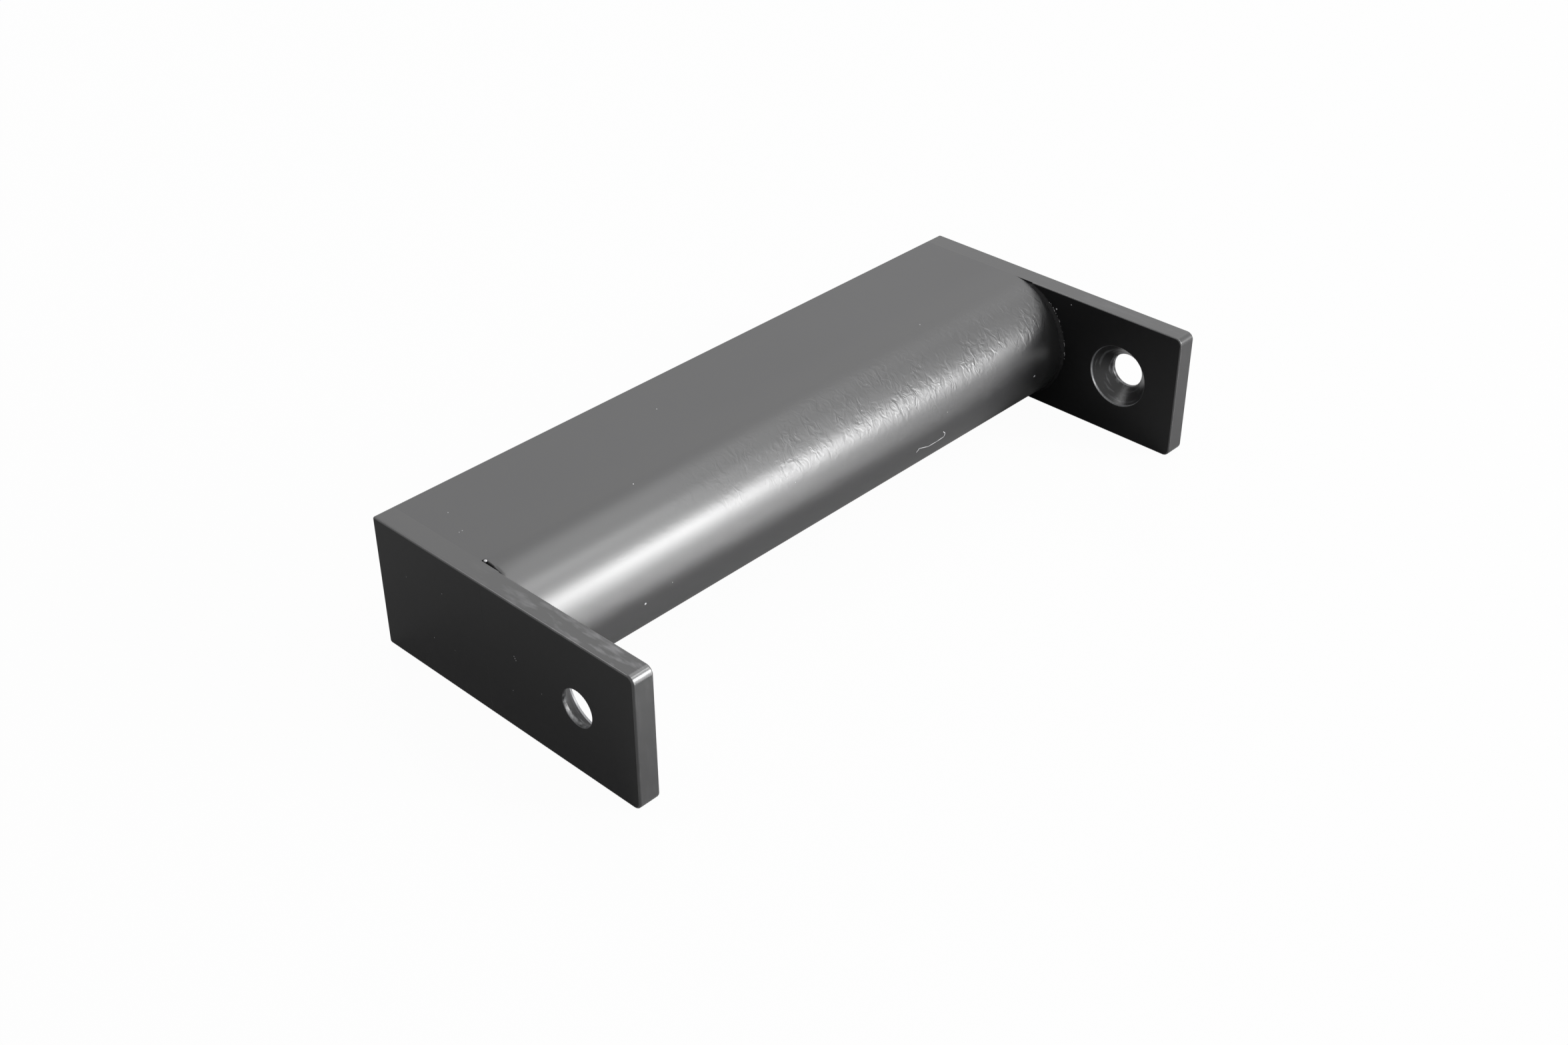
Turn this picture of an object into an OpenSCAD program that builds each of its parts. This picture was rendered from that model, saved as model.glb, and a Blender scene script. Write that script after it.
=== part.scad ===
// Cabinet handle: a grip bar with a round nose, welded between two flat end plates.
// It lies on one side. The grip bar's flat outer face is at +Y, and the plates' free ends are at -Y.
// The origin is below the middle of the handle, on the face that it lies on.

/* [Overall] */
// Length over the outer faces of the two end plates
overall_length = 140; // [90:1:300]
// Height of the grip bar and of the end plates, which are flush above and below
bar_height = 25; // [16:0.5:40]
// Rounding along the grip bar's back edges, which the end plates' back corners follow
back_edge_radius = 0.5; // [0.4:0.05:1]

/* [Grip bar] */
// Depth of the grip bar's square part, from its flat outer face to the start of its round nose
grip_flat_depth = 22.3; // [10:0.1:40]

/* [End plates] */
// Thickness of each end plate
plate_thickness = 4; // [3.5:0.1:8]
// Clear depth for the fingers, from the front of the nose to the plates' free ends
finger_depth = 26; // [22:0.1:60]
// Rounding of each plate's upper and lower corner at its free end
corner_radius = 1.4; // [1:0.1:4]
// Rounding all along the edge of each plate's outer face
outer_edge_radius = 0.3; // [0.15:0.05:0.4]
// Rounding along the edge of each plate's inner face, from its weld bead round the free end
inner_edge_radius = 0.25; // [0.1:0.05:0.4]

/* [Screw holes] */
// Diameter of the screw hole in each plate
hole_diameter = 6.6; // [5.4:0.1:9]
// Distance from each plate's free end to the middle of its screw hole
hole_setback = 13; // [9:0.5:19]
// Diameter of the countersink where it opens on the plate's inner face
countersink_diameter = 12.3; // [8:0.1:13.2]
// Angle across the countersink's cone
countersink_angle = 90; // [80:1:120]
// Depth of the straight lip between the plate's inner face and the cone
countersink_lip = 0.4; // [0.1:0.1:0.8]

/* [Weld beads] */
// Width of each weld bead, on the nose and on the plate
weld_leg = 0.5; // [0.3:0.05:1.2]

/* [Hidden] */
$fn = 128;

paint_colour = "#303134";
weld_colour = "#3c3d40";

// How far a cutter runs past the face that it cuts
overcut = 1;

nose_radius = bar_height / 2;
plate_depth = grip_flat_depth + nose_radius + finger_depth;
back_y = plate_depth / 2;
free_end_y = -plate_depth / 2;
nose_axis_y = back_y - grip_flat_depth;
grip_length = overall_length - 2 * plate_thickness;

// Middles of the arcs that round a plate's outline
free_corner_y = free_end_y + corner_radius;
free_corner_z = bar_height - corner_radius;
back_corner_y = back_y - back_edge_radius;
back_corner_z = bar_height - back_edge_radius;
// A plate is built of a middle, and of a rim that overlaps it
rim_inset = max(outer_edge_radius, inner_edge_radius);
rim_width = 2 * rim_inset;

hole_y = free_end_y + hole_setback;
hole_z = bar_height / 2;
hole_radius = hole_diameter / 2;
countersink_radius = countersink_diameter / 2;
cone_top = plate_thickness - countersink_lip;
cone_bottom = cone_top - (countersink_radius - hole_radius) / tan(countersink_angle / 2);

// Each bead stops where its toe on the plate would rise past the flush top face
weld_toe_radius = nose_radius + weld_leg;
weld_half_angle = asin(nose_radius / weld_toe_radius);
// The plate's rounded inner edge ends where it meets the bead's toe
weld_toe_z = nose_radius - inner_edge_radius;
weld_toe_y = nose_axis_y - sqrt(weld_toe_radius * weld_toe_radius - weld_toe_z * weld_toe_z);

// Extrudes a section that is drawn as (y, z) along x
module along_x(length) {
    rotate([90, 0, 90]) linear_extrude(length) children();
}

// Repeats what lies along the upper edge along the lower one
module above_and_below() {
    children();
    translate([0, 0, bar_height]) mirror([0, 0, 1]) children();
}

// Places what is built for the left end, from the plate's outer face, at the left or the right end
module at_end(right) {
    mirror([right ? 1 : 0, 0, 0]) translate([-overall_length / 2, 0, 0]) children();
}

// The part of a corner that is cut away to round it, from the middle of its arc
module corner_waste(radius) {
    difference() {
        square(radius + overcut);
        circle(radius);
    }
}

// Section of the grip bar, with its back edges rounded
module grip_section() {
    translate([nose_axis_y, nose_radius]) circle(nose_radius);
    translate([nose_axis_y, 0])
        square([back_corner_y - nose_axis_y, bar_height]);
    translate([nose_axis_y, back_edge_radius])
        square([back_y - nose_axis_y, bar_height - 2 * back_edge_radius]);
    for (z = [back_edge_radius, back_corner_z])
        translate([back_corner_y, z]) circle(back_edge_radius);
}

// Outline of an end plate, drawn in all round by the given inset
module plate_outline(inset) {
    translate([free_corner_y, inset])
        square([back_corner_y - free_corner_y, bar_height - 2 * inset]);
    translate([free_end_y + inset, corner_radius])
        square([back_corner_y - free_end_y - inset, bar_height - 2 * corner_radius]);
    translate([free_corner_y, back_edge_radius])
        square([back_y - inset - free_corner_y, bar_height - 2 * back_edge_radius]);
    for (z = [corner_radius, free_corner_z])
        translate([free_corner_y, z]) circle(corner_radius - inset);
    for (z = [back_edge_radius, back_corner_z])
        translate([back_corner_y, z]) circle(back_edge_radius - inset);
}

// Section through a plate's rim: x runs outwards, and y runs in from the plate's outer face
module rim_section(width, inner_radius) {
    difference() {
        square([width, plate_thickness]);
        translate([width - outer_edge_radius, outer_edge_radius]) rotate(-90)
            corner_waste(outer_edge_radius);
        if (inner_radius > 0)
            translate([width - inner_radius, plate_thickness - inner_radius])
                corner_waste(inner_radius);
    }
}

// A straight length of rim that runs down from its origin, with its outside facing +y
module rim_side(length, inner_radius) {
    rotate([180, 0, 90]) linear_extrude(length)
        translate([-rim_width, 0]) rim_section(rim_width, inner_radius);
}

// A quarter turn of rim about the x axis, from +y round to +z
module rim_corner(radius, inner_radius) {
    rotate([90, 0, 90]) rotate_extrude(angle = 90) rim_section(radius, inner_radius);
}

// The rim all round a plate: its inner edge is rounded only where the plate stands clear of the grip bar
module plate_rim() {
    above_and_below() {
        translate([0, free_corner_y, free_corner_z]) rotate([90, 0, 0])
            rim_corner(corner_radius, inner_edge_radius);
        translate([0, free_corner_y, bar_height]) rotate([90, 0, 0])
            rim_side(weld_toe_y - free_corner_y, inner_edge_radius);
        translate([0, weld_toe_y, bar_height]) rotate([90, 0, 0])
            rim_side(back_corner_y - weld_toe_y, 0);
        translate([0, back_corner_y, back_corner_z])
            rim_corner(back_edge_radius, 0);
    }
    translate([0, free_end_y, corner_radius]) rotate([180, 0, 0])
        rim_side(bar_height - 2 * corner_radius, inner_edge_radius);
    translate([0, back_y, back_corner_z])
        rim_side(bar_height - 2 * back_edge_radius, 0);
}

// Screw hole from the plate's outer face, opening in a cone and a short lip at its inner face
module screw_hole() {
    translate([0, hole_y, hole_z]) rotate([0, 90, 0]) rotate_extrude()
        polygon([
            [0, -overcut],
            [hole_radius, -overcut],
            [hole_radius, cone_bottom],
            [countersink_radius, cone_top],
            [countersink_radius, plate_thickness + overcut],
            [0, plate_thickness + overcut]
        ]);
}

module end_plate() {
    color(paint_colour) difference() {
        union() {
            along_x(plate_thickness) plate_outline(rim_inset);
            plate_rim();
        }
        screw_hole();
    }
}

// A thin fillet weld round the nose, where the plate stands proud of it
module weld_bead() {
    color(weld_colour) translate([0, nose_axis_y, nose_radius])
        rotate([90, 0, 90]) rotate([0, 0, 180 - weld_half_angle])
            rotate_extrude(angle = 2 * weld_half_angle)
                translate([nose_radius, plate_thickness])
                    polygon([[0, 0], [weld_leg, 0], [0, weld_leg]]);
}

module grip_bar() {
    color(paint_colour) translate([-grip_length / 2, 0, 0]) along_x(grip_length) grip_section();
}

grip_bar();
at_end(right = false) end_plate();  // left_end_plate
at_end(right = true) end_plate();  // right_end_plate
at_end(right = false) weld_bead();  // left_weld_bead
at_end(right = true) weld_bead();  // right_weld_bead
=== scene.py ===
# A cabinet handle of painted aluminium: a grip bar with a round nose, welded between two flat end plates.
# It lies on one side. The bar's flat outer face is at +Y, and the plates' free ends are at -Y.

import math
from random import Random

import bmesh
import bpy
from mathutils import Matrix, Vector, noise


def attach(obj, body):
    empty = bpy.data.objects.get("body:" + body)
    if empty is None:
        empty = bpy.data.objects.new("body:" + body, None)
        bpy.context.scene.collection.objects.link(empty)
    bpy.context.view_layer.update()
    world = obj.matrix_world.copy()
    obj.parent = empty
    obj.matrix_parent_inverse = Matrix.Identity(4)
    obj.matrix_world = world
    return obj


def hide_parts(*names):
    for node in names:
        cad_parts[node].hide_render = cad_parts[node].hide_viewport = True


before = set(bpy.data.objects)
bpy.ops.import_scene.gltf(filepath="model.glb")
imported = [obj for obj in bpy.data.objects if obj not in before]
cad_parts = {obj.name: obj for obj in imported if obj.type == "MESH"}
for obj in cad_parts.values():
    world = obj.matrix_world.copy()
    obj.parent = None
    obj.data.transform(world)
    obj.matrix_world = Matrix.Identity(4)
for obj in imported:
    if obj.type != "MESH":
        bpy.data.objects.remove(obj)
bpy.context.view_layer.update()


# Grip bar
# A solid aluminium bar, 25 mm high, with one long side machined to a half-round nose for the fingers.
# Its nose was ground smooth by hand. The bar was sprayed with black enamel after it was welded to its plates.

MM = 0.001
BAR_HEIGHT = 25 * MM
GRIP_LENGTH = 132 * MM
NOSE_RADIUS = BAR_HEIGHT / 2
NOSE_AXIS_Y = 8.1 * MM
BACK_Y = 30.4 * MM
BACK_EDGE_RADIUS = 0.5 * MM
NOSE_STEPS = 120
EDGE_STEPS = 8
# How far a loop that holds a flat face flat lies from the face's rounded edge
HOLDING_INSET = 0.06 * MM
GRIP_END = GRIP_LENGTH / 2
# Distances from each end of the bar at which its skin has a loop
GRIP_LOOPS = [d * MM for d in (0.08, 0.16, 0.25, 0.35, 0.45, 0.6, 0.8, 1.2, 2, 4, 8, 16, 32, 50)]

# Where the weld didn't fill the start of the near seam, a slit is left that narrows down the nose
SLIT_TOP = 89.0
SLIT_FOOT = 68.0
SLIT_WIDTH = 0.7 * MM
SLIT_DEPTH = 1.3 * MM
# Beside the slit the nose was ground a little too far
SINK_FOOT = 62.0
SINK_FADE = 8.0
SINK_LENGTH = 4.5 * MM
SINK_DEPTH = 0.1 * MM


def rounded_outline(bm, x, corners):
    """Draws a closed outline at x from its corners: (y, z, radius, first angle, sweep, steps)."""
    start = end = None
    for y, z, radius, first, sweep, steps in corners:
        angle = math.radians(first)
        foot = bm.verts.new((x, y + radius * math.cos(angle), z + radius * math.sin(angle)))
        if end:
            bm.edges.new((end, foot))
        arc = bmesh.ops.spin(
            bm, geom=[foot], cent=(x, y, z), axis=(1, 0, 0), dvec=(0, 0, 0),
            angle=math.radians(sweep), steps=steps,
            use_merge=False, use_normal_flip=False, use_duplicate=False,
        )
        end = next(v for v in arc["geom_last"] if isinstance(v, bmesh.types.BMVert))
        start = start or foot
    bm.edges.new((end, start))
    return bmesh.ops.contextual_create(bm, geom=bm.edges[:])["faces"][0]


def thicken(bm, face, length):
    """Extrudes an outline's face along x into a closed solid."""
    made = bmesh.ops.extrude_face_region(bm, geom=[face])["geom"]
    moved = [v for v in made if isinstance(v, bmesh.types.BMVert)]
    bmesh.ops.translate(bm, verts=moved, vec=(length, 0, 0))


def cut_through(bm, point, normal):
    """Cuts a loop of edges round the whole piece."""
    parts = bm.verts[:] + bm.edges[:] + bm.faces[:]
    bmesh.ops.bisect_plane(bm, geom=parts, plane_co=point, plane_no=normal)


def nose_angle(co):
    """Degrees round the nose, from -y up."""
    return math.degrees(math.atan2(co.z - NOSE_RADIUS, NOSE_AXIS_Y - co.y))


def ramp(value, low, high):
    """0 below low and 1 above high, easing between them. It also falls, where high is below low."""
    t = min(1.0, max(0.0, (value - low) / (high - low)))
    return t * t * (3 - 2 * t)


def nose_outwards(co):
    """The way that the nose's surface faces at a point on it."""
    return Vector((0, co.y - NOSE_AXIS_Y, co.z - NOSE_RADIUS)).normalized()


def on_back(face):
    """True for a face of the bar's flat back."""
    return face.calc_center_median().y > BACK_Y - 0.01 * MM


# Points nearer than this are merged, and edges sharper than this stay sharp
MERGE_DISTANCE = 0.0005 * MM
SHARP_ANGLE = math.radians(40)


def finished_piece(bm, name, *materials):
    """Closes a piece's seams, points its faces outwards, and makes it a smooth object at the origin."""
    bmesh.ops.remove_doubles(bm, verts=bm.verts[:], dist=MERGE_DISTANCE)
    bmesh.ops.recalc_face_normals(bm, faces=bm.faces[:])
    for face in bm.faces:
        face.smooth = True
    for edge in bm.edges:
        edge.smooth = edge.calc_face_angle(0) < SHARP_ANGLE
    mesh = bpy.data.meshes.new(name)
    bm.to_mesh(mesh)
    bm.free()
    for material in materials:
        mesh.materials.append(material)
    piece = bpy.data.objects.new(name, mesh)
    bpy.context.scene.collection.objects.link(piece)
    return piece


def linear(colour):
    """An sRGB hex colour as linear RGBA."""
    channels = [int(colour[i:i + 2], 16) / 255 for i in (1, 3, 5)]
    return [c / 12.92 if c <= 0.04045 else ((c + 0.055) / 1.055) ** 2.4 for c in channels] + [1.0]


def add_node(tree, kind, inputs=None, **settings):
    """Adds a shader node with its settings, and sets or links its inputs."""
    made = tree.nodes.new(kind)
    for name, value in settings.items():
        setattr(made, name, value)
    for name, value in (inputs or {}).items():
        if isinstance(value, bpy.types.NodeSocket):
            tree.links.new(value, made.inputs[name])
        else:
            made.inputs[name].default_value = value
    return made


def new_material(name):
    """An empty material, and the node tree and output that its shader goes in."""
    material = bpy.data.materials.new(name)
    material.use_nodes = True
    material.node_tree.nodes.clear()
    return material, material.node_tree, add_node(material.node_tree, "ShaderNodeOutputMaterial")


bm = bmesh.new()
section = rounded_outline(
    bm, -GRIP_END,
    [
        (NOSE_AXIS_Y, NOSE_RADIUS, NOSE_RADIUS, 90, 180, NOSE_STEPS),
        (BACK_Y - BACK_EDGE_RADIUS, BACK_EDGE_RADIUS, BACK_EDGE_RADIUS, 270, 90, EDGE_STEPS),
        (BACK_Y - BACK_EDGE_RADIUS, BAR_HEIGHT - BACK_EDGE_RADIUS, BACK_EDGE_RADIUS, 0, 90, EDGE_STEPS),
    ],
)
thicken(bm, section, GRIP_LENGTH)
held = BACK_EDGE_RADIUS + HOLDING_INSET
cuts = [((side * (GRIP_END - d), 0, 0), (1, 0, 0)) for d in GRIP_LOOPS for side in (-1, 1)]
cuts += [((0, y, 0), (0, 1, 0)) for y in (BACK_Y - held, NOSE_AXIS_Y + 2 * HOLDING_INSET)]
for point, normal in cuts:
    cut_through(bm, point, normal)
for z in (held, BAR_HEIGHT - held):
    back = [f for f in bm.faces if on_back(f)]
    parts = back + list({e for f in back for e in f.edges}) + list({v for f in back for v in f.verts})
    bmesh.ops.bisect_plane(bm, geom=parts, plane_co=(0, 0, z), plane_no=(0, 0, 1))
for vert in [v for v in bm.verts if v.co.y < NOSE_AXIS_Y]:
    angle = nose_angle(vert.co)
    from_end = vert.co.x + GRIP_END
    if SINK_FOOT < angle < SLIT_TOP:
        down = ramp(angle, SINK_FOOT, SLIT_FOOT + SINK_FADE) * ramp(angle, SLIT_TOP, SLIT_TOP - SINK_FADE)
        vert.co -= nose_outwards(vert.co) * SINK_DEPTH * down * ramp(from_end, SINK_LENGTH, 0)
    if from_end < SLIT_WIDTH and SLIT_FOOT < angle < SLIT_TOP and vert.co.y < NOSE_AXIS_Y:
        down = (angle - SLIT_FOOT) / (SLIT_TOP - SLIT_FOOT)
        across = ramp(from_end, SLIT_WIDTH, SLIT_WIDTH / 2)
        vert.co -= nose_outwards(vert.co) * SLIT_DEPTH * math.sqrt(down) * across

# The bar's skin unrolled, in metres: along the bar, and round it from the top of the nose
wrap = bm.loops.layers.uv.new("round_the_nose")
HALF_ROUND = math.pi * NOSE_RADIUS
for face in bm.faces:
    for loop in face.loops:
        co = loop.vert.co
        if on_back(face):
            along = HALF_ROUND + BACK_Y - NOSE_AXIS_Y + co.z
        elif co.y <= NOSE_AXIS_Y:
            along = NOSE_RADIUS * math.radians(90 - nose_angle(co))
        elif co.z > NOSE_RADIUS:
            along = NOSE_AXIS_Y - co.y
        else:
            along = HALF_ROUND + co.y - NOSE_AXIS_Y
        loop[wrap].uv = (co.x, along)

# Black enamel sprayed over ground aluminium: satin, with a slight orange peel, and below it the marks of
# the grinding round the nose. The marks show most towards the right end, where the paint is thinner. On the
# flat faces, which weren't ground smooth, the enamel is duller, and a painted sheen makes its colour a little
# paler.
ENAMEL_IOR = 1.75
ENAMEL_ROUGHNESS = 0.38
ENAMEL_DEEP = "#1d1d1e"
ENAMEL_THIN = "#232324"
FLAT_ENAMEL_PAINTED_SHEEN = "#363637"
FLAT_DULLER = 0.24
FLAT_FADE = 8 * MM
GLOSS_SPREAD = 0.03
PEEL_SIZE = 2.2 * MM
PEEL_HEIGHT = 0.006 * MM
GRAIN_SIZE = 0.35 * MM
GRAIN_HEIGHT = 0.0006 * MM
CLOUD_SIZE = 30 * MM
GRIND_WIDTH = 1.5 * MM
GRIND_LENGTH = 2.0 * MM
GRIND_HEIGHT = 0.14 * MM
GRIND_SLANT = math.radians(20)
GRIND_PATCH = 5 * MM
# The marks grow stronger between these places along the bar, and between these heights, from these shares
GRIND_FROM_X, GRIND_TO_X, GRIND_LEAST_X = -40 * MM, 20 * MM, 0.1
GRIND_FROM_Z, GRIND_TO_Z, GRIND_LEAST_Z = 16.5 * MM, 20.5 * MM, 0.15
GRIND_FADE_Y = 4 * MM
GRIND_PATCH_FADE = (0.35, 0.6)
GRIND_LEAST_PATCH = 0.2


def skin_normal(tree, spot, under=None):
    """The enamel's orange peel and fine grain, over the normal of what lies under it."""
    normal = under
    for size, height in ((PEEL_SIZE, PEEL_HEIGHT), (GRAIN_SIZE, GRAIN_HEIGHT)):
        lumps = add_node(tree, "ShaderNodeTexNoise", {"Vector": spot, "Scale": 1 / size, "Detail": 2.0})
        inputs = {"Height": lumps.outputs["Fac"], "Distance": height}
        if normal:
            inputs["Normal"] = normal
        normal = add_node(tree, "ShaderNodeBump", inputs).outputs["Normal"]
    return normal


grip_enamel_with_painted_sheen, tree, output = new_material("black_enamel_on_ground_aluminium_with_painted_sheen")
spot = add_node(tree, "ShaderNodeTexCoord").outputs["Object"]
cloud = add_node(tree, "ShaderNodeTexNoise", {"Vector": spot, "Scale": 1 / CLOUD_SIZE, "Detail": 3.0})
tone = add_node(
    tree, "ShaderNodeMix",
    {"Factor": cloud.outputs["Fac"], "A": linear(ENAMEL_DEEP), "B": linear(ENAMEL_THIN)}, data_type="RGBA",
)
gloss = add_node(
    tree, "ShaderNodeMapRange",
    {
        "Value": cloud.outputs["Fac"],
        "To Min": ENAMEL_ROUGHNESS - GLOSS_SPREAD,
        "To Max": ENAMEL_ROUGHNESS + GLOSS_SPREAD,
    },
)
round_nose = add_node(tree, "ShaderNodeUVMap", uv_map="round_the_nose").outputs["UV"]
grind_at = add_node(
    tree, "ShaderNodeMapping",
    {"Vector": round_nose, "Rotation": (0, 0, GRIND_SLANT), "Scale": (1 / GRIND_WIDTH, 1 / GRIND_LENGTH, 1)},
)
grind = add_node(
    tree, "ShaderNodeTexNoise",
    {"Vector": grind_at.outputs["Vector"], "Scale": 1.0, "Detail": 2.0, "Distortion": 1.2},
)
place = add_node(tree, "ShaderNodeSeparateXYZ", {"Vector": spot})
on_flat = add_node(
    tree, "ShaderNodeMapRange",
    {
        "Value": place.outputs["Y"],
        "From Min": NOSE_AXIS_Y,
        "From Max": NOSE_AXIS_Y + FLAT_FADE,
    },
    interpolation_type="SMOOTHSTEP",
)
dulled = add_node(
    tree, "ShaderNodeMath",
    {0: on_flat.outputs["Result"], 1: FLAT_DULLER, 2: gloss.outputs["Result"]}, operation="MULTIPLY_ADD",
)
# Painted sheen: the flat faces get a paler colour than the nose, standing in for the sheen that the duller
# enamel loses
paler = add_node(
    tree, "ShaderNodeMix",
    {"Factor": on_flat.outputs["Result"], "A": tone.outputs["Result"], "B": linear(FLAT_ENAMEL_PAINTED_SHEEN)},
    data_type="RGBA",
)
thinner = add_node(
    tree, "ShaderNodeMapRange",
    {
        "Value": place.outputs["X"],
        "From Min": GRIND_FROM_X,
        "From Max": GRIND_TO_X,
        "To Min": GRIND_LEAST_X,
    },
    interpolation_type="SMOOTHSTEP",
)
on_round = add_node(
    tree, "ShaderNodeMapRange",
    {"Value": place.outputs["Y"], "From Min": NOSE_AXIS_Y, "From Max": NOSE_AXIS_Y - GRIND_FADE_Y},
    interpolation_type="SMOOTHSTEP",
)
high_up = add_node(
    tree, "ShaderNodeMapRange",
    {
        "Value": place.outputs["Z"],
        "From Min": GRIND_FROM_Z,
        "From Max": GRIND_TO_Z,
        "To Min": GRIND_LEAST_Z,
    },
    interpolation_type="SMOOTHSTEP",
)
patch = add_node(tree, "ShaderNodeTexNoise", {"Vector": spot, "Scale": 1 / GRIND_PATCH, "Detail": 2.0})
in_patch = add_node(
    tree, "ShaderNodeMapRange",
    {
        "Value": patch.outputs["Fac"],
        "From Min": GRIND_PATCH_FADE[0],
        "From Max": GRIND_PATCH_FADE[1],
        "To Min": GRIND_LEAST_PATCH,
    },
)
grind_share = thinner.outputs["Result"]
for mask in (on_round, high_up, in_patch):
    both = add_node(tree, "ShaderNodeMath", {0: grind_share, 1: mask.outputs["Result"]}, operation="MULTIPLY")
    grind_share = both.outputs["Value"]
grind_relief = add_node(
    tree, "ShaderNodeBump",
    {"Height": grind.outputs["Fac"], "Strength": grind_share, "Distance": GRIND_HEIGHT},
)
enamel = add_node(
    tree, "ShaderNodeBsdfPrincipled",
    {
        "Base Color": paler.outputs["Result"],
        "Roughness": dulled.outputs["Value"],
        "IOR": ENAMEL_IOR,
        "Normal": skin_normal(tree, spot, grind_relief.outputs["Normal"]),
    },
)
tree.links.new(enamel.outputs["BSDF"], output.inputs["Surface"])

grip = finished_piece(bm, "painted_grip_bar", grip_enamel_with_painted_sheen)
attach(grip, "root")
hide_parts("grip_bar")


# End plates
# Two flat aluminium plates, 4 mm thick, flush with the bar above, below and behind it. Each has one
# countersunk hole for a screw. They were drilled and their edges were broken before they were welded on.

PLATE_THICKNESS = 4 * MM
OUTER_FACE_X = GRIP_END + PLATE_THICKNESS
FREE_END_Y = -30.4 * MM
CORNER_RADIUS = 1.4 * MM
CORNER_STEPS = 18
OUTER_EDGE_RADIUS = 0.3 * MM
INNER_EDGE_RADIUS = 0.25 * MM
# Behind this the plate's inner edge is welded flush with the bar, and its rounding fades out
WELD_TOE_Y = 3.75 * MM
SEAM_FADE = 0.1 * MM

HOLE_Y = -17.4 * MM
HOLE_RADIUS = 3.3 * MM
COUNTERSINK_RADIUS = 6.15 * MM
LIP_DEPTH = 0.4 * MM
CONE_DEPTH = COUNTERSINK_RADIUS - HOLE_RADIUS
HOLE_EDGE_RADIUS = 0.1 * MM
HOLE_COLLAR = 0.3 * MM
HOLE_STEPS = 128
HOLE_CORNER_ANGLE = math.radians(20)
# Of the faces that look sideways, only the plates' flat ones are larger than this
LARGE_FACE = 200 * MM * MM
NEAR = 0.001 * MM


def near(a, b):
    """True for two lengths that are the same but for rounding."""
    return abs(a - b) < NEAR


def across_face(edge):
    """True for an edge that only marks where the rounding of the inner edge ends."""
    y = edge.verts[0].co.y
    return near(edge.verts[1].co.y, y) and (near(y, WELD_TOE_Y) or near(y, WELD_TOE_Y + SEAM_FADE))


def looks_sideways(face):
    """True for a face that looks along the bar."""
    return abs(face.normal.x) > 0.99


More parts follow.
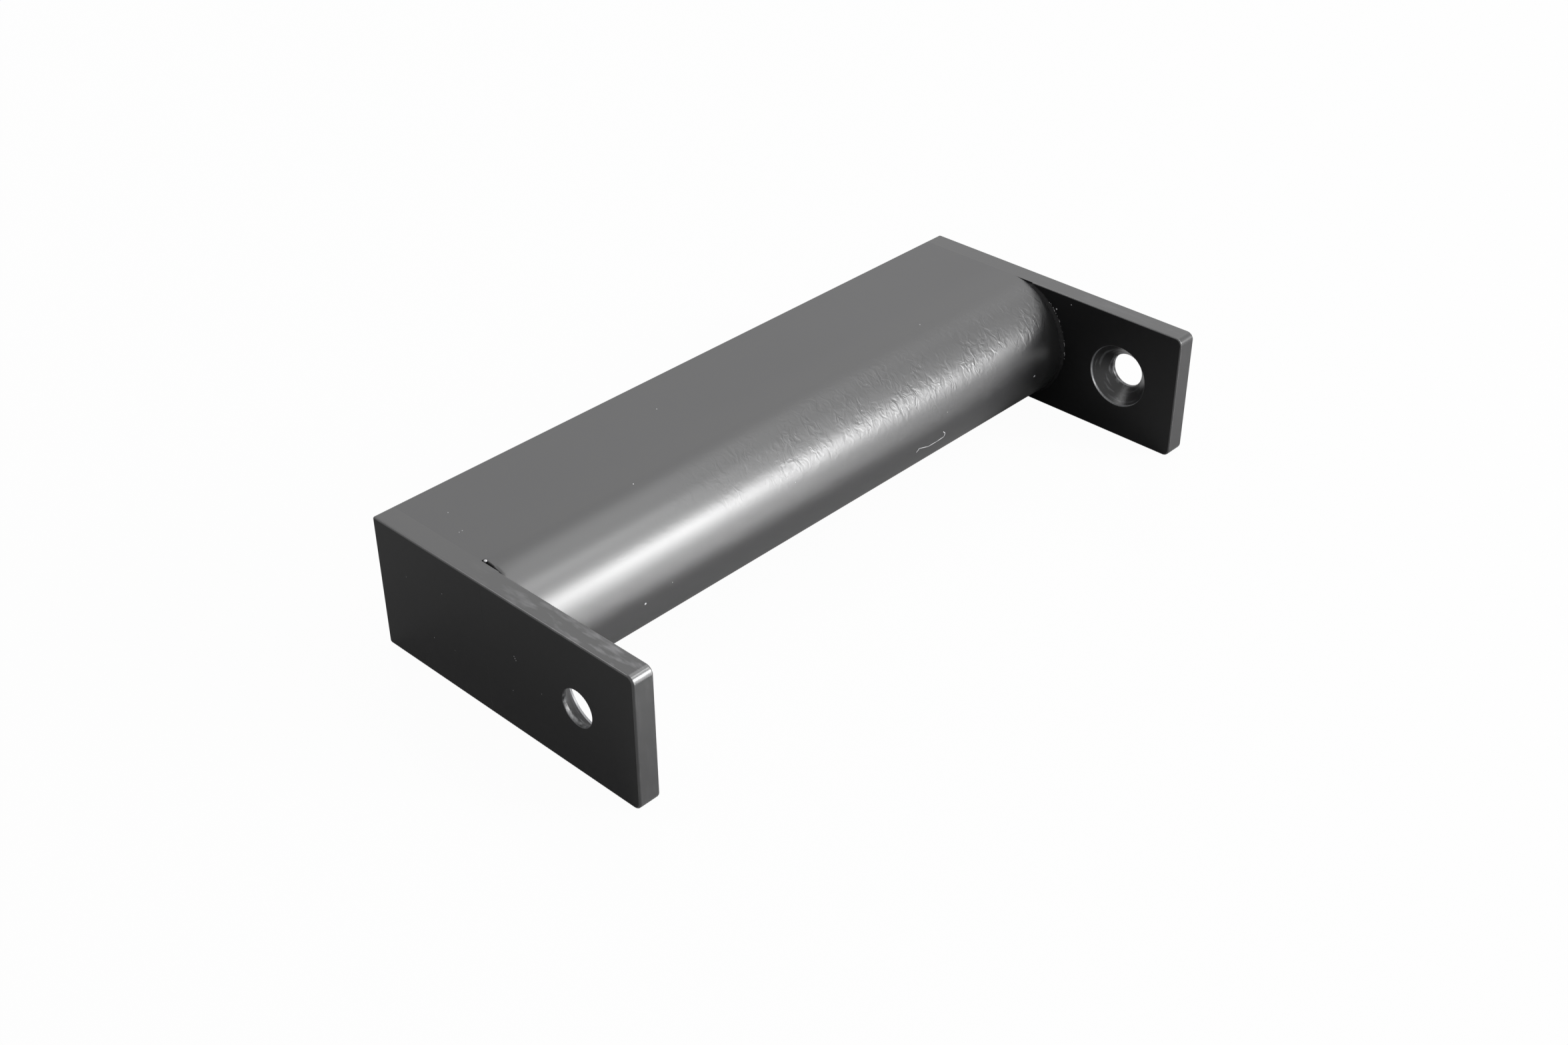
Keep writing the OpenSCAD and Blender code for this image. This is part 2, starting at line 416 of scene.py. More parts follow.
def end_plate(side):
    """A plate with its hole: side is -1 for the left end and 1 for the right end."""
    bm = bmesh.new()
    outer, inner = side * OUTER_FACE_X, side * GRIP_END
    back = BACK_Y - BACK_EDGE_RADIUS
    top = BAR_HEIGHT - BACK_EDGE_RADIUS
    outline = rounded_outline(
        bm, outer,
        [
            (FREE_END_Y + CORNER_RADIUS, BAR_HEIGHT - CORNER_RADIUS, CORNER_RADIUS, 90, 90, CORNER_STEPS),
            (FREE_END_Y + CORNER_RADIUS, CORNER_RADIUS, CORNER_RADIUS, 180, 90, CORNER_STEPS),
            (back, BACK_EDGE_RADIUS, BACK_EDGE_RADIUS, 270, 90, EDGE_STEPS),
            (back, top, BACK_EDGE_RADIUS, 0, 90, EDGE_STEPS),
        ],
    )
    thicken(bm, outline, inner - outer)
    for y in (WELD_TOE_Y, WELD_TOE_Y + SEAM_FADE):
        cut_through(bm, (0, y, 0), (0, 1, 0))
    for x, last_y, radius in ((outer, BACK_Y, OUTER_EDGE_RADIUS), (inner, WELD_TOE_Y, INNER_EDGE_RADIUS)):
        rim = [
            e for e in bm.edges
            if all(near(v.co.x, x) and v.co.y < last_y + NEAR for v in e.verts) and not across_face(e)
        ]
        bmesh.ops.bevel(bm, geom=rim, offset=radius, segments=6, profile=0.5, affect="EDGES", material=-1)
    for x, inset in (
        (outer, -side * (OUTER_EDGE_RADIUS + HOLDING_INSET)),
        (inner, side * (INNER_EDGE_RADIUS + HOLDING_INSET)),
    ):
        cut_through(bm, (x + inset, 0, 0), (1, 0, 0))
    faces = [f for f in bm.faces if f.calc_area() > LARGE_FACE and looks_sideways(f)]
    bmesh.ops.inset_individual(bm, faces=faces, thickness=HOLDING_INSET, use_even_offset=True)
    drilled = [f for f in faces if f.calc_center_median().y < WELD_TOE_Y]

    steps = [
        (0, HOLE_RADIUS + HOLE_COLLAR),
        (0, HOLE_RADIUS),
        (PLATE_THICKNESS - LIP_DEPTH - CONE_DEPTH, HOLE_RADIUS),
        (PLATE_THICKNESS - LIP_DEPTH, COUNTERSINK_RADIUS),
        (PLATE_THICKNESS, COUNTERSINK_RADIUS),
        (PLATE_THICKNESS, COUNTERSINK_RADIUS + HOLE_COLLAR),
    ]
    profile = [bm.verts.new((outer - side * depth, HOLE_Y, NOSE_RADIUS + radius)) for depth, radius in steps]
    chain = [bm.edges.new(pair) for pair in zip(profile, profile[1:])]
    before = set(bm.faces)
    bmesh.ops.spin(
        bm, geom=profile + chain, cent=(0, HOLE_Y, NOSE_RADIUS), axis=(1, 0, 0), dvec=(0, 0, 0),
        angle=math.radians(360), steps=HOLE_STEPS,
        use_merge=True, use_normal_flip=False, use_duplicate=False,
    )
    wall = [f for f in bm.faces if f not in before]
    for face in wall:
        on_face = all(near(v.co.x, outer) for v in face.verts) or all(near(v.co.x, inner) for v in face.verts)
        face.material_index = 0 if on_face else 1
    corners = [
        e for f in wall for e in f.edges
        if len(e.link_faces) == 2 and e.calc_face_angle(0) > HOLE_CORNER_ANGLE
    ]
    bmesh.ops.bevel(
        bm, geom=list(set(corners)), offset=HOLE_EDGE_RADIUS, segments=4, profile=0.5,
        affect="EDGES", material=-1,
    )
    for face in drilled:
        x = face.calc_center_median().x
        ring = [e for e in bm.edges if e.is_boundary and all(near(v.co.x, x) for v in e.verts)]
        border = list(face.edges)
        bmesh.ops.delete(bm, geom=[face], context="FACES_ONLY")
        bmesh.ops.triangle_fill(
            bm, use_beauty=True, use_dissolve=False, edges=border + ring, normal=(side, 0, 0)
        )
    bm.normal_update()
    for face in bm.faces:
        at_face = any(near(face.calc_center_median().x, x) for x in (outer, inner))
        if at_face and looks_sideways(face):
            face.material_index = 2
    return bm


# On the plates' flat faces the enamel is less glossy than on the bar, and its colour is darker as painted
# shade.
PLATE_ROUGHNESS = 0.38
PLATE_GLOSS_SPREAD = 0.05
PLATE_SPECULAR = 0.25
PLATE_PAINTED_SHADE_DEEP = "#0b0b0c"
PLATE_PAINTED_SHADE_THIN = "#121213"

plate_enamel_with_painted_shade, tree, output = new_material("dull_black_enamel_with_painted_shade_on_flat_faces")
spot = add_node(tree, "ShaderNodeTexCoord").outputs["Object"]
cloud = add_node(tree, "ShaderNodeTexNoise", {"Vector": spot, "Scale": 1 / CLOUD_SIZE, "Detail": 3.0})
# Painted shade: the plates' flat faces are coloured darker than the bar's enamel
tone = add_node(
    tree, "ShaderNodeMix",
    {"Factor": cloud.outputs["Fac"], "A": linear(PLATE_PAINTED_SHADE_DEEP), "B": linear(PLATE_PAINTED_SHADE_THIN)}, data_type="RGBA",
)
gloss = add_node(
    tree, "ShaderNodeMapRange",
    {
        "Value": cloud.outputs["Fac"],
        "To Min": PLATE_ROUGHNESS - PLATE_GLOSS_SPREAD,
        "To Max": PLATE_ROUGHNESS + PLATE_GLOSS_SPREAD,
    },
)
enamel = add_node(
    tree, "ShaderNodeBsdfPrincipled",
    {
        "Base Color": tone.outputs["Result"],
        "Roughness": gloss.outputs["Result"],
        "Specular IOR Level": PLATE_SPECULAR,
        "Normal": skin_normal(tree, spot),
    },
)
tree.links.new(enamel.outputs["BSDF"], output.inputs["Surface"])

# The plates' edges were filed, so their enamel has faint streaks of relief along them. Along the streaks a
# painted highlight makes the colour lighter, most on the left plate's upper edge, towards its free end.
RIM_PAINTED_HIGHLIGHT = "#606062"
RIM_ROUGHNESS = 0.3
FILE_WIDTH = 1.2 * MM
FILE_LENGTH = 4.5 * MM
FILE_HEIGHT = 0.02 * MM
# The streaks grow stronger between these places towards the free ends, and near the upper edge
STREAKS_FROM_Y, STREAKS_TO_Y = NOSE_AXIS_Y + 2 * MM, FREE_END_Y + 14 * MM
STREAKS_TOP_DEPTH = 1 * MM
STREAKS_LEAST_TOP = 0.1
STREAKS_LEAST_RIGHT = 0.15
# Only the highest parts of the noise show as streaks
STREAK_PEAKS = (0.5, 0.72)

rim_enamel_with_painted_highlights, tree, output = new_material("black_enamel_with_painted_highlights_on_filed_edges")
spot = add_node(tree, "ShaderNodeTexCoord").outputs["Object"]
place = add_node(tree, "ShaderNodeSeparateXYZ", {"Vector": spot})
file_at = add_node(
    tree, "ShaderNodeMapping", {"Vector": spot, "Scale": (1 / FILE_WIDTH, 1 / FILE_LENGTH, 1 / FILE_LENGTH)},
)
filed = add_node(
    tree, "ShaderNodeTexNoise", {"Vector": file_at.outputs["Vector"], "Scale": 1.0, "Detail": 3.0},
)
streaks = add_node(
    tree, "ShaderNodeMapRange",
    {"Value": filed.outputs["Fac"], "From Min": STREAK_PEAKS[0], "From Max": STREAK_PEAKS[1]},
)
to_free_end = add_node(
    tree, "ShaderNodeMapRange",
    {"Value": place.outputs["Y"], "From Min": STREAKS_FROM_Y, "From Max": STREAKS_TO_Y},
)
to_left = add_node(
    tree, "ShaderNodeMapRange",
    {
        "Value": place.outputs["X"],
        "From Min": 0.0,
        "From Max": -GRIP_END,
        "To Min": STREAKS_LEAST_RIGHT,
    },
)
on_top = add_node(
    tree, "ShaderNodeMapRange",
    {
        "Value": place.outputs["Z"],
        "From Min": BAR_HEIGHT - STREAKS_TOP_DEPTH,
        "From Max": BAR_HEIGHT,
        "To Min": STREAKS_LEAST_TOP,
    },
)
filed_and_highlight_share = to_free_end.outputs["Result"]
for mask in (to_left, on_top):
    both = add_node(tree, "ShaderNodeMath", {0: filed_and_highlight_share, 1: mask.outputs["Result"]}, operation="MULTIPLY")
    filed_and_highlight_share = both.outputs["Value"]
# Painted highlight: the streaks lighten the enamel's colour where the masks above allow
painted_highlight_share = add_node(
    tree, "ShaderNodeMath", {0: streaks.outputs["Result"], 1: filed_and_highlight_share}, operation="MULTIPLY",
)
tone = add_node(
    tree, "ShaderNodeMix",
    {"Factor": painted_highlight_share.outputs["Value"], "A": linear(ENAMEL_DEEP), "B": linear(RIM_PAINTED_HIGHLIGHT)},
    data_type="RGBA",
)
file_relief = add_node(
    tree, "ShaderNodeBump",
    {"Height": filed.outputs["Fac"], "Strength": filed_and_highlight_share, "Distance": FILE_HEIGHT},
)
enamel = add_node(
    tree, "ShaderNodeBsdfPrincipled",
    {
        "Base Color": tone.outputs["Result"],
        "Roughness": RIM_ROUGHNESS,
        "IOR": ENAMEL_IOR,
        "Normal": skin_normal(tree, spot, file_relief.outputs["Normal"]),
    },
)
tree.links.new(enamel.outputs["BSDF"], output.inputs["Surface"])

# Inside the screw holes the enamel is thin and uneven. Rings left by the countersink show through it, it is
# mottled in the bore, and the lip is coloured paler.
HOLE_DEEP = "#131314"
HOLE_THIN = "#77787a"
HOLE_LIP_PALE = "#6e6f71"
HOLE_IOR = 1.5
HOLE_ROUGHNESS = 0.34
RING_PITCH = 0.5 * MM
RING_LENGTH = 3.5 * MM
MOTTLE_SIZE = 1.3 * MM
MOTTLE_HEIGHT = 0.05 * MM
# The parts of the noise that show as rings and as mottle, and the most that the metal shows through
RING_PEAKS, RING_MOST = (0.54, 0.78), 0.8
MOTTLE_PEAKS, MOTTLE_MOST = (0.42, 0.66), 0.5
# Distances from the hole's axis between which the bore's mottle gives way to the rings, and the lip starts
BORE_FADE = (HOLE_RADIUS + 0.4 * MM, HOLE_RADIUS + 0.1 * MM)
LIP_FADE = (COUNTERSINK_RADIUS - 0.12 * MM, COUNTERSINK_RADIUS - 0.04 * MM)

hole_enamel, tree, output = new_material("thin_enamel_in_screw_hole")
spot = add_node(tree, "ShaderNodeTexCoord").outputs["Object"]
place = add_node(tree, "ShaderNodeSeparateXYZ", {"Vector": spot})
sideways = add_node(tree, "ShaderNodeMath", {0: place.outputs["Y"], 1: HOLE_Y}, operation="SUBTRACT")
upwards = add_node(tree, "ShaderNodeMath", {0: place.outputs["Z"], 1: NOSE_RADIUS}, operation="SUBTRACT")
round_hole = add_node(
    tree, "ShaderNodeMath", {0: upwards.outputs["Value"], 1: sideways.outputs["Value"]}, operation="ARCTAN2",
)
from_axis = add_node(
    tree, "ShaderNodeCombineXYZ", {"X": sideways.outputs["Value"], "Y": upwards.outputs["Value"]},
)
radius = add_node(tree, "ShaderNodeVectorMath", {0: from_axis.outputs["Vector"]}, operation="LENGTH")
ring_at = add_node(
    tree, "ShaderNodeCombineXYZ",
    {"X": radius.outputs["Value"], "Y": round_hole.outputs["Value"], "Z": place.outputs["X"]},
)
ring_scaled = add_node(
    tree, "ShaderNodeMapping",
    {
        "Vector": ring_at.outputs["Vector"],
        "Scale": (1 / RING_PITCH, HOLE_RADIUS / RING_LENGTH, 1 / RING_LENGTH),
    },
)
rings = add_node(
    tree, "ShaderNodeTexNoise", {"Vector": ring_scaled.outputs["Vector"], "Scale": 1.0, "Detail": 4.0},
)
mottle = add_node(tree, "ShaderNodeTexNoise", {"Vector": spot, "Scale": 1 / MOTTLE_SIZE, "Detail": 4.0})
ring_marks = add_node(
    tree, "ShaderNodeMapRange",
    {
        "Value": rings.outputs["Fac"],
        "From Min": RING_PEAKS[0],
        "From Max": RING_PEAKS[1],
        "To Max": RING_MOST,
    },
)
patches = add_node(
    tree, "ShaderNodeMapRange",
    {
        "Value": mottle.outputs["Fac"],
        "From Min": MOTTLE_PEAKS[0],
        "From Max": MOTTLE_PEAKS[1],
        "To Max": MOTTLE_MOST,
    },
)
in_bore = add_node(
    tree, "ShaderNodeMapRange",
    {"Value": radius.outputs["Value"], "From Min": BORE_FADE[0], "From Max": BORE_FADE[1]},
)
thin_share = add_node(
    tree, "ShaderNodeMix",
    {
        "Factor": in_bore.outputs["Result"],
        "A": ring_marks.outputs["Result"],
        "B": patches.outputs["Result"],
    },
)
painted = add_node(
    tree, "ShaderNodeMix",
    {"Factor": thin_share.outputs["Result"], "A": linear(HOLE_DEEP), "B": linear(HOLE_THIN)},
    data_type="RGBA",
)
on_lip = add_node(
    tree, "ShaderNodeMapRange",
    {"Value": radius.outputs["Value"], "From Min": LIP_FADE[0], "From Max": LIP_FADE[1]},
)
tone = add_node(
    tree, "ShaderNodeMix",
    {"Factor": on_lip.outputs["Result"], "A": painted.outputs["Result"], "B": linear(HOLE_LIP_PALE)},
    data_type="RGBA",
)
mottle_relief = add_node(
    tree, "ShaderNodeBump", {"Height": mottle.outputs["Fac"], "Distance": MOTTLE_HEIGHT},
)
ring_relief = add_node(
    tree, "ShaderNodeBump",
    {"Height": rings.outputs["Fac"], "Distance": PEEL_HEIGHT, "Normal": mottle_relief.outputs["Normal"]},
)
enamel = add_node(
    tree, "ShaderNodeBsdfPrincipled",
    {
        "Base Color": tone.outputs["Result"],
        "Roughness": HOLE_ROUGHNESS,
        "IOR": HOLE_IOR,
        "Normal": ring_relief.outputs["Normal"],
    },
)
tree.links.new(enamel.outputs["BSDF"], output.inputs["Surface"])

for side, name in ((-1, "left"), (1, "right")):
    plate = finished_piece(
        end_plate(side), f"painted_{name}_end_plate", rim_enamel_with_painted_highlights, hole_enamel, plate_enamel_with_painted_shade
    )
    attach(plate, "root")
    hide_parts(f"{name}_end_plate")


# Weld beads
# A thin fillet weld joins the round of the nose to each plate. It was laid by hand and painted over,
# so its edge wanders a little. Above and below, the weld was ground flush with the bar and the plates.

BEAD_LEG = 0.5 * MM
BEAD_HALF_ANGLE = 74
BEAD_FADE = 5
BEAD_STEPS = 180
BEAD_ROOT = 0.08 * MM
BEAD_WANDER = 0.22
# Degrees round the nose over which the bead swells and thins, slowly and quickly
SLOW_SWELL = 7
QUICK_SWELL = 2.2
# Share of the bead's size that is left at its ends
BEAD_END_SHARE = 0.35


def weld_bead(side):
    """A fillet round the nose that swells and thins as it goes."""
    bm = bmesh.new()
    plate_face = side * GRIP_END
    # The bead's profile: distances along the bar from the plate, and out from the nose
    section = [
        (-BEAD_ROOT, -BEAD_ROOT),
        (BEAD_LEG, -BEAD_ROOT),
        (BEAD_LEG, 0),
        (BEAD_LEG * 0.62, BEAD_LEG * 0.22),
        (BEAD_LEG * 0.36, BEAD_LEG * 0.42),
        (BEAD_LEG * 0.18, BEAD_LEG * 0.68),
        (0, BEAD_LEG),
        (-BEAD_ROOT, BEAD_LEG),
    ]
    axis = Vector((plate_face, NOSE_AXIS_Y, NOSE_RADIUS))
    points = [
        bm.verts.new(axis + Vector((-side * along, -(NOSE_RADIUS + out), 0))) for along, out in section
    ]
    end = bm.faces.new(points)
    bmesh.ops.rotate(
        bm, verts=bm.verts[:], cent=axis, matrix=Matrix.Rotation(math.radians(-BEAD_HALF_ANGLE), 3, "X")
    )
    bmesh.ops.spin(
        bm, geom=[end], cent=axis, axis=(1, 0, 0), dvec=(0, 0, 0),
        angle=math.radians(2 * BEAD_HALF_ANGLE), steps=BEAD_STEPS,
        use_merge=False, use_normal_flip=False, use_duplicate=False,
    )
    for vert in bm.verts:
        angle = nose_angle(vert.co)
        fade = ramp(abs(angle), BEAD_HALF_ANGLE, BEAD_HALF_ANGLE - BEAD_FADE)
        slow = noise.noise(Vector((angle / SLOW_SWELL, side * 3.1, 0.4)))
        quick = noise.noise(Vector((angle / QUICK_SWELL, side, 7)))
        size = (BEAD_END_SHARE + (1 - BEAD_END_SHARE) * fade) * (1 + BEAD_WANDER * (slow + quick))
        radial = Vector((0, vert.co.y - NOSE_AXIS_Y, vert.co.z - NOSE_RADIUS))
        out = radial.length - NOSE_RADIUS
        along = side * (plate_face - vert.co.x)
        if out > 0:
            vert.co += radial.normalized() * out * (size - 1)
        if along > 0:
            vert.co.x -= side * along * (size - 1)
    return bm


# The enamel lies thick and dull in the corner of the weld, over a lumpy bead. Its colour there is darkened as
# painted shade.
WELD_PAINTED_SHADE_DEEP = "#0b0b0c"
WELD_PAINTED_SHADE_THIN = "#161617"
WELD_ROUGHNESS = 0.5
WELD_SPECULAR = 0.2
LUMP_SIZE = 0.8 * MM
LUMP_HEIGHT = 0.05 * MM

weld_enamel_with_painted_shade, tree, output = new_material("thick_enamel_with_painted_shade_on_weld")
spot = add_node(tree, "ShaderNodeTexCoord").outputs["Object"]
lumps = add_node(tree, "ShaderNodeTexNoise", {"Vector": spot, "Scale": 1 / LUMP_SIZE, "Detail": 3.0})
tone = add_node(
    tree, "ShaderNodeMix",
    {"Factor": lumps.outputs["Fac"], "A": linear(WELD_PAINTED_SHADE_DEEP), "B": linear(WELD_PAINTED_SHADE_THIN)}, data_type="RGBA",
)
lump_relief = add_node(tree, "ShaderNodeBump", {"Height": lumps.outputs["Fac"], "Distance": LUMP_HEIGHT})
enamel = add_node(
    tree, "ShaderNodeBsdfPrincipled",
    {
        "Base Color": tone.outputs["Result"],
        "Roughness": WELD_ROUGHNESS,
        "Specular IOR Level": WELD_SPECULAR,
        "Normal": lump_relief.outputs["Normal"],
    },
)
tree.links.new(enamel.outputs["BSDF"], output.inputs["Surface"])

for side, name in ((-1, "left"), (1, "right")):
    bead = finished_piece(weld_bead(side), f"painted_{name}_weld_bead", weld_enamel_with_painted_shade)
    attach(bead, "root")
    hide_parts(f"{name}_weld_bead")


# Dust, lint and weld spatter in the enamel
# Dust and a thread of lint settled in the wet enamel, and small drops of metal stuck beside the right weld.
# Each is a tiny bump, paler than the enamel round it, partly from the dust and partly as a painted glint.

# How deep each bump is sunk, and how high it stands, as shares of its radius
NIB_SINK = 0.35
NIB_FLATNESS = 0.6
# Where each nib sits on the nose, as (x in mm, degrees round it), and its radius
NOSE_NIBS = [
    (-44.0, -5.7, 0.28), (57.6, -7.2, 0.3), (-38.0, -0.4, 0.12),
    (12.0, 46.0, 0.1), (-8.0, 22.0, 0.09), (31.5, 8.0, 0.1),
]
# The same on the flat top, as (x, y in mm)
TOP_NIBS = [
    (-16.2, 21.7, 0.13), (-35.2, 7.1, 0.13), (38.2, 8.5, 0.14), (-61.1, 22.4, 0.12), (-62.8, 16.7, 0.11),
    (-63.4, 16.7, 0.1), (-65.5, 7.7, 0.3),
]
# The same on the left plate's outer face, as (y, z in mm)
OUTER_NIBS = [
    (13.8, 18.0, 0.09), (23.1, 16.7, 0.07), (17.4, 7.6, 0.1), (-2.1, 7.5, 0.08), (-9.2, 10.7, 0.07),
    (12.1, 7.8, 0.06), (-3.6, 14.1, 0.1), (-3.4, 14.4, 0.12), (-3.2, 14.7, 0.1),
]
# The same on the right plate's inner face, as (y, z in mm)
INNER_NIBS = [(-2.3, 21.4, 0.22), (-5.6, 23.5, 0.14)]
# The lint's path over the nose
LINT_PATH = [
    (23.4, -15.8), (24.0, -12.7), (26.9, -17.2), (29.2, -17.2), (31.2, -16.5), (31.3, -12.7), (30.6, -9.3),
]
LINT_RADIUS = 0.13 * MM
# How far each bump of the lint reaches to both sides of its middle, as a share of its step along the path
LINT_REACH = 1 / 1.4
# Spatter follows the toe of the right weld bead between these angles round the nose
SPATTER_FROM = 52
SPATTER_TO = -4
SPATTER_STEP = 1.3
SPATTER_SHARE = 0.7
SPATTER_SEED = 5
# Least and most in mm of each drop's distance from the toe and of its radius, and of its length over width
SPATTER_OFFSETS = (-0.05, 0.15)
SPATTER_RADII = (0.05, 0.12)
SPATTER_LENGTHS = (1, 2.6)


def point_on_nose(x, angle):
    """A point on the nose and the way that its surface faces."""
    turn = math.radians(angle)
    outwards = Vector((0, -math.cos(turn), math.sin(turn)))
    return Vector((x * MM, NOSE_AXIS_Y, NOSE_RADIUS)) + outwards * NOSE_RADIUS, outwards


def nib(bm, place, outwards, radius, length=1.0, along=Vector((1, 0, 0))):
    """A flattened bump, sunk into the surface that it sits on, and drawn out along a direction."""
    across = outwards.cross(along).normalized()
    frame_of_nib = Matrix((along.normalized() * length, across, outwards * NIB_FLATNESS)).transposed()
    bmesh.ops.create_icosphere(
        bm, subdivisions=2, radius=radius,
        matrix=Matrix.Translation(place - outwards * radius * NIB_SINK) @ frame_of_nib.to_4x4(),
    )


bm = bmesh.new()
for x, angle, radius in NOSE_NIBS:
    nib(bm, *point_on_nose(x, angle), radius * MM)
for x, y, radius in TOP_NIBS:
    nib(bm, Vector((x * MM, y * MM, BAR_HEIGHT)), Vector((0, 0, 1)), radius * MM)
for y, z, radius in OUTER_NIBS:
    nib(bm, Vector((-OUTER_FACE_X, y * MM, z * MM)), Vector((-1, 0, 0)), radius * MM, along=Vector((0, 1, 0)))
for y, z, radius in INNER_NIBS:
    nib(bm, Vector((GRIP_END, y * MM, z * MM)), Vector((-1, 0, 0)), radius * MM, along=Vector((0, 1, 0)))
lint = [point_on_nose(x, angle) for x, angle in LINT_PATH]
for (start, faces_start), (end, faces_end) in zip(lint, lint[1:]):
    middle = (start + end) / 2
    outwards = (faces_start + faces_end).normalized()
    nib(bm, middle, outwards, LINT_RADIUS, (end - start).length * LINT_REACH / LINT_RADIUS, end - start)
drops = Random(SPATTER_SEED)
angle = SPATTER_FROM
while angle > SPATTER_TO:
    turn = math.radians(angle)
    outwards = Vector((0, -math.cos(turn), math.sin(turn)))
    round_toe = Vector((0, math.sin(turn), math.cos(turn)))
    distance = NOSE_RADIUS + BEAD_LEG + drops.uniform(*SPATTER_OFFSETS) * MM
    place = Vector((GRIP_END, NOSE_AXIS_Y, NOSE_RADIUS)) + outwards * distance
    if drops.random() < SPATTER_SHARE:
        radius = drops.uniform(*SPATTER_RADII) * MM
        nib(bm, place, Vector((-1, 0, 0)), radius, drops.uniform(*SPATTER_LENGTHS), round_toe)
    angle -= SPATTER_STEP

# Thin enamel over dust, pale partly because the dust shows through it and partly as a painted glint.
NIB_COLOUR_WITH_PAINTED_GLINT = "#b8b8ba"
NIB_IOR = 1.5
dust_with_painted_glint, tree, output = new_material("dust_and_spatter_with_painted_glint")
enamel = add_node(
    tree, "ShaderNodeBsdfPrincipled",
    {"Base Color": linear(NIB_COLOUR_WITH_PAINTED_GLINT), "Roughness": ENAMEL_ROUGHNESS, "IOR": NIB_IOR},
)
tree.links.new(enamel.outputs["BSDF"], output.inputs["Surface"])

dust = finished_piece(bm, "dust_lint_and_spatter", dust_with_painted_glint)
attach(dust, "root")


# Floor, backdrop and studio light
# A white satin sheet in a white room. The key light is a cluster of small softboxes at the front right, for
# the bright band along the nose. Weaker ones hang above, behind and at both sides.

FLOOR_HALF_WIDTH = 3.0
# The floor lies a hair below the handle, so that no two faces share a plane
FLOOR_DROP = 0.02 * MM
FLOOR_COLOUR = "#b2b2b2"
FLOOR_ROUGHNESS = 0.2
FLOOR_IOR = 1.5
# Share of plain white in the sheet as the camera sees it, and as gloss and glass show it
WHITENED_SHARE = 0.97
REFLECTED_SHARE = 0.03
# The room is plain white where it is seen, and lights the handle less than that
FILL_STRENGTH = 0.35

bm = bmesh.new()
bmesh.ops.create_grid(bm, x_segments=1, y_segments=1, size=FLOOR_HALF_WIDTH)
bmesh.ops.translate(bm, verts=bm.verts[:], vec=(0, 0, -FLOOR_DROP))
white_floor, tree, output = new_material("white_satin_sheet")
seen = add_node(tree, "ShaderNodeLightPath").outputs
mirrored = add_node(
    tree, "ShaderNodeMath", {0: seen["Is Glossy Ray"], 1: seen["Is Transmission Ray"]}, operation="MAXIMUM"
)
direct = add_node(tree, "ShaderNodeMath", {0: seen["Is Camera Ray"], 1: WHITENED_SHARE}, operation="MULTIPLY")
share = add_node(
    tree, "ShaderNodeMath",
    {0: mirrored.outputs[0], 1: REFLECTED_SHARE, 2: direct.outputs[0]}, operation="MULTIPLY_ADD",
)
sheet = add_node(
    tree, "ShaderNodeBsdfPrincipled",
    {"Base Color": linear(FLOOR_COLOUR), "Roughness": FLOOR_ROUGHNESS, "IOR": FLOOR_IOR},
)
glow = add_node(tree, "ShaderNodeEmission", {"Color": (1, 1, 1, 1), "Strength": 1.0})
mixed = add_node(tree, "ShaderNodeMixShader", {0: share.outputs[0], 1: sheet.outputs[0], 2: glow.outputs[0]})
tree.links.new(mixed.outputs[0], output.inputs["Surface"])
floor = finished_piece(bm, "floor", white_floor)

world = bpy.data.worlds.new("white_studio")
bpy.context.scene.world = world
world.use_nodes = True
tree = world.node_tree
tree.nodes.clear()
seen = add_node(tree, "ShaderNodeLightPath").outputs
mirrored = add_node(
    tree, "ShaderNodeMath", {0: seen["Is Glossy Ray"], 1: seen["Is Transmission Ray"]}, operation="MAXIMUM"
)
in_sight = add_node(
    tree, "ShaderNodeMath", {0: mirrored.outputs[0], 1: seen["Is Camera Ray"]}, operation="MAXIMUM"
)
level = add_node(tree, "ShaderNodeMapRange", {"Value": in_sight.outputs[0], "To Min": FILL_STRENGTH})
sky = add_node(tree, "ShaderNodeBackground", {"Color": (1, 1, 1, 1), "Strength": level.outputs["Result"]})
add_node(tree, "ShaderNodeOutputWorld", {"Surface": sky.outputs["Background"]})

# Every softbox is this far from the middle of the handle, in metres
SOFTBOX_DISTANCE = 1.0


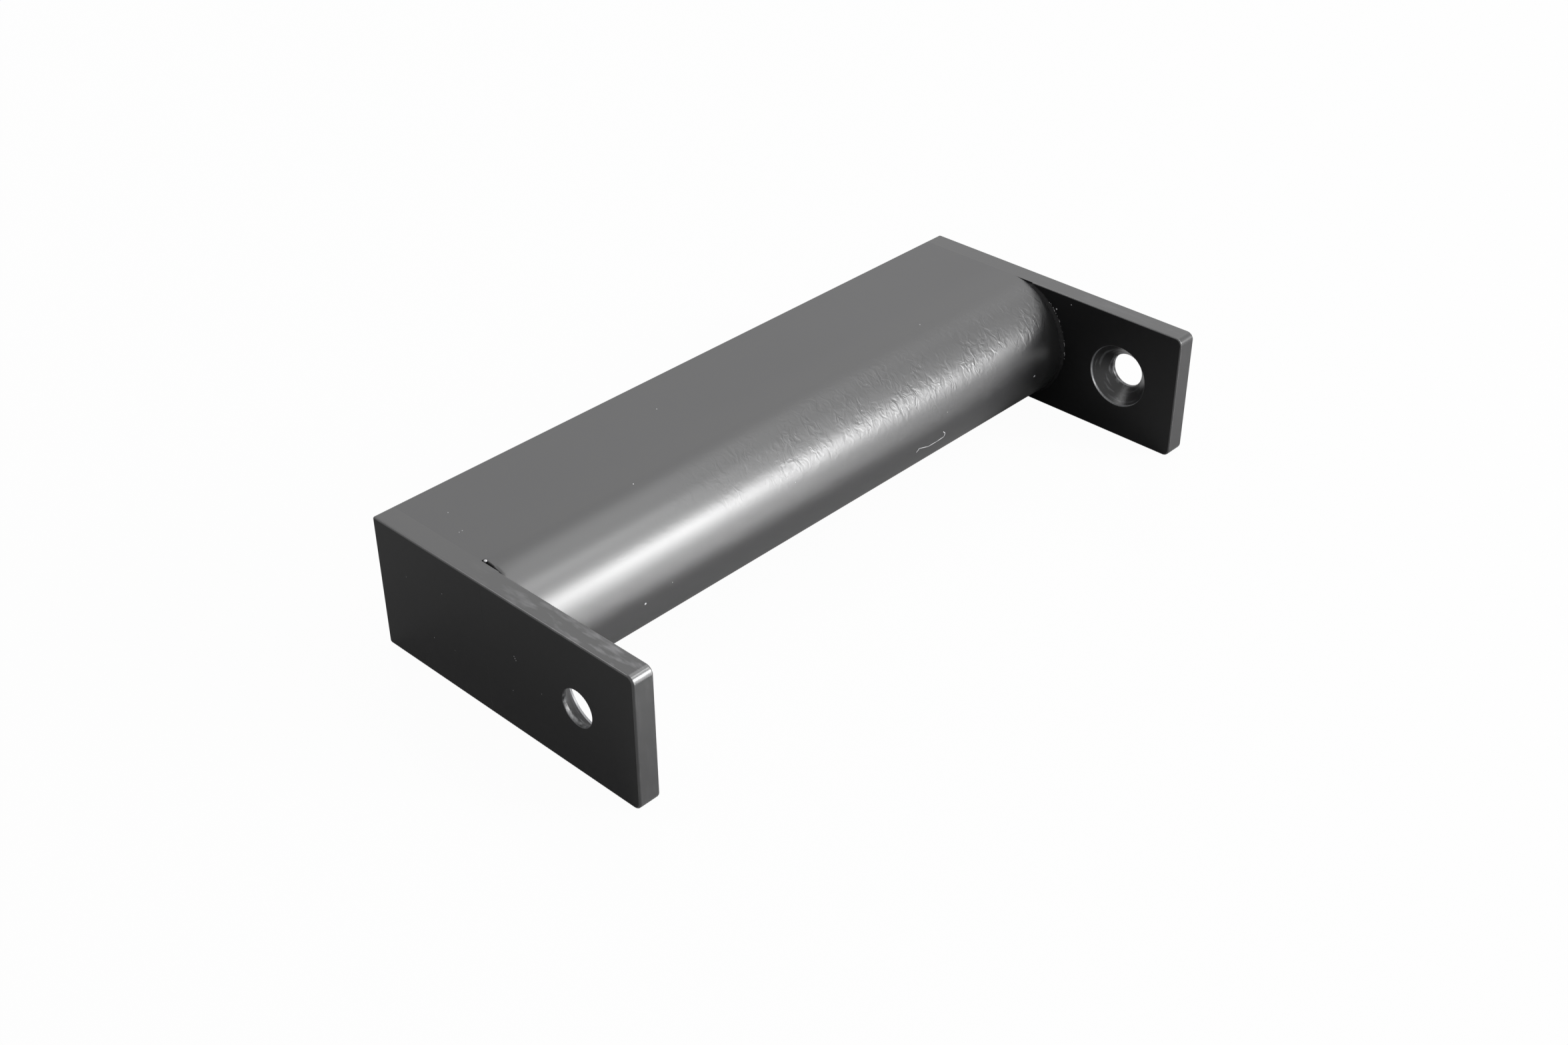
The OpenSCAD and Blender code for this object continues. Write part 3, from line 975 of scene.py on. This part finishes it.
def softbox(name, azimuth, elevation, width, height, radiance):
    """A softbox that faces the handle. Azimuth 0 is in front, at -Y, and 90 is at +X."""
    lamp = bpy.data.lights.new(name, "AREA")
    lamp.shape = "RECTANGLE"
    lamp.size, lamp.size_y = width, height
    lamp.energy = radiance * math.pi * width * height
    across, up = math.radians(azimuth), math.radians(elevation)
    towards = Vector((math.sin(across) * math.cos(up), -math.cos(across) * math.cos(up), math.sin(up)))
    box = bpy.data.objects.new(name, lamp)
    box.location = towards * SOFTBOX_DISTANCE + Vector((0, 0, NOSE_RADIUS))
    box.rotation_mode = "QUATERNION"
    box.rotation_quaternion = towards.to_track_quat("Z", "Y")
    box.visible_camera = False
    bpy.context.scene.collection.objects.link(box)


softbox("key_softbox_high", azimuth=32, elevation=28, width=0.12, height=0.12, radiance=47)
softbox("key_softbox_middle", azimuth=32, elevation=20, width=0.12, height=0.12, radiance=78)
softbox("key_softbox_low", azimuth=32, elevation=9, width=0.12, height=0.24, radiance=14)
softbox("side_strip", azimuth=24, elevation=12, width=0.12, height=0.36, radiance=26)
softbox("spill_strip", azimuth=40, elevation=16, width=0.12, height=0.24, radiance=16)
softbox("upper_softbox_high", azimuth=45, elevation=54, width=0.2, height=0.14, radiance=24)
softbox("upper_softbox_low", azimuth=43, elevation=40, width=0.14, height=0.14, radiance=11)
softbox("top_softbox", azimuth=96, elevation=65, width=0.5, height=0.4, radiance=2.9)
softbox("right_softbox", azimuth=90, elevation=30, width=0.5, height=0.5, radiance=0.3)
softbox("back_softbox", azimuth=125, elevation=42, width=1.0, height=0.6, radiance=0.45)
softbox("left_softbox", azimuth=202, elevation=52, width=0.4, height=0.3, radiance=4.5)


# Camera
# It looks down on the left end, from in front of the handle, with a standard lens. Its place, direction
# and roll were fitted to the outline and the edges that the photo shows.

CAMERA_AT = Vector((-213.34, -197.85, 198.65)) * MM
CAMERA_FORWARD = Vector((0.59902, 0.5752, -0.55706))
CAMERA_ROLL = math.radians(0.38)
CAMERA_LENS = 45.42
CAMERA_SENSOR = 36

camera = bpy.data.cameras.new("camera")
camera.lens = CAMERA_LENS
camera.sensor_width = CAMERA_SENSOR
camera_object = bpy.data.objects.new("camera", camera)
camera_object.location = CAMERA_AT
camera_object.rotation_mode = "QUATERNION"
level_view = CAMERA_FORWARD.to_track_quat("-Z", "Y")
rolled = Matrix.Rotation(CAMERA_ROLL, 3, CAMERA_FORWARD).to_quaternion()
camera_object.rotation_quaternion = rolled @ level_view
bpy.context.scene.collection.objects.link(camera_object)
bpy.context.scene.camera = camera_object
bpy.context.scene.view_settings.view_transform = "Standard"
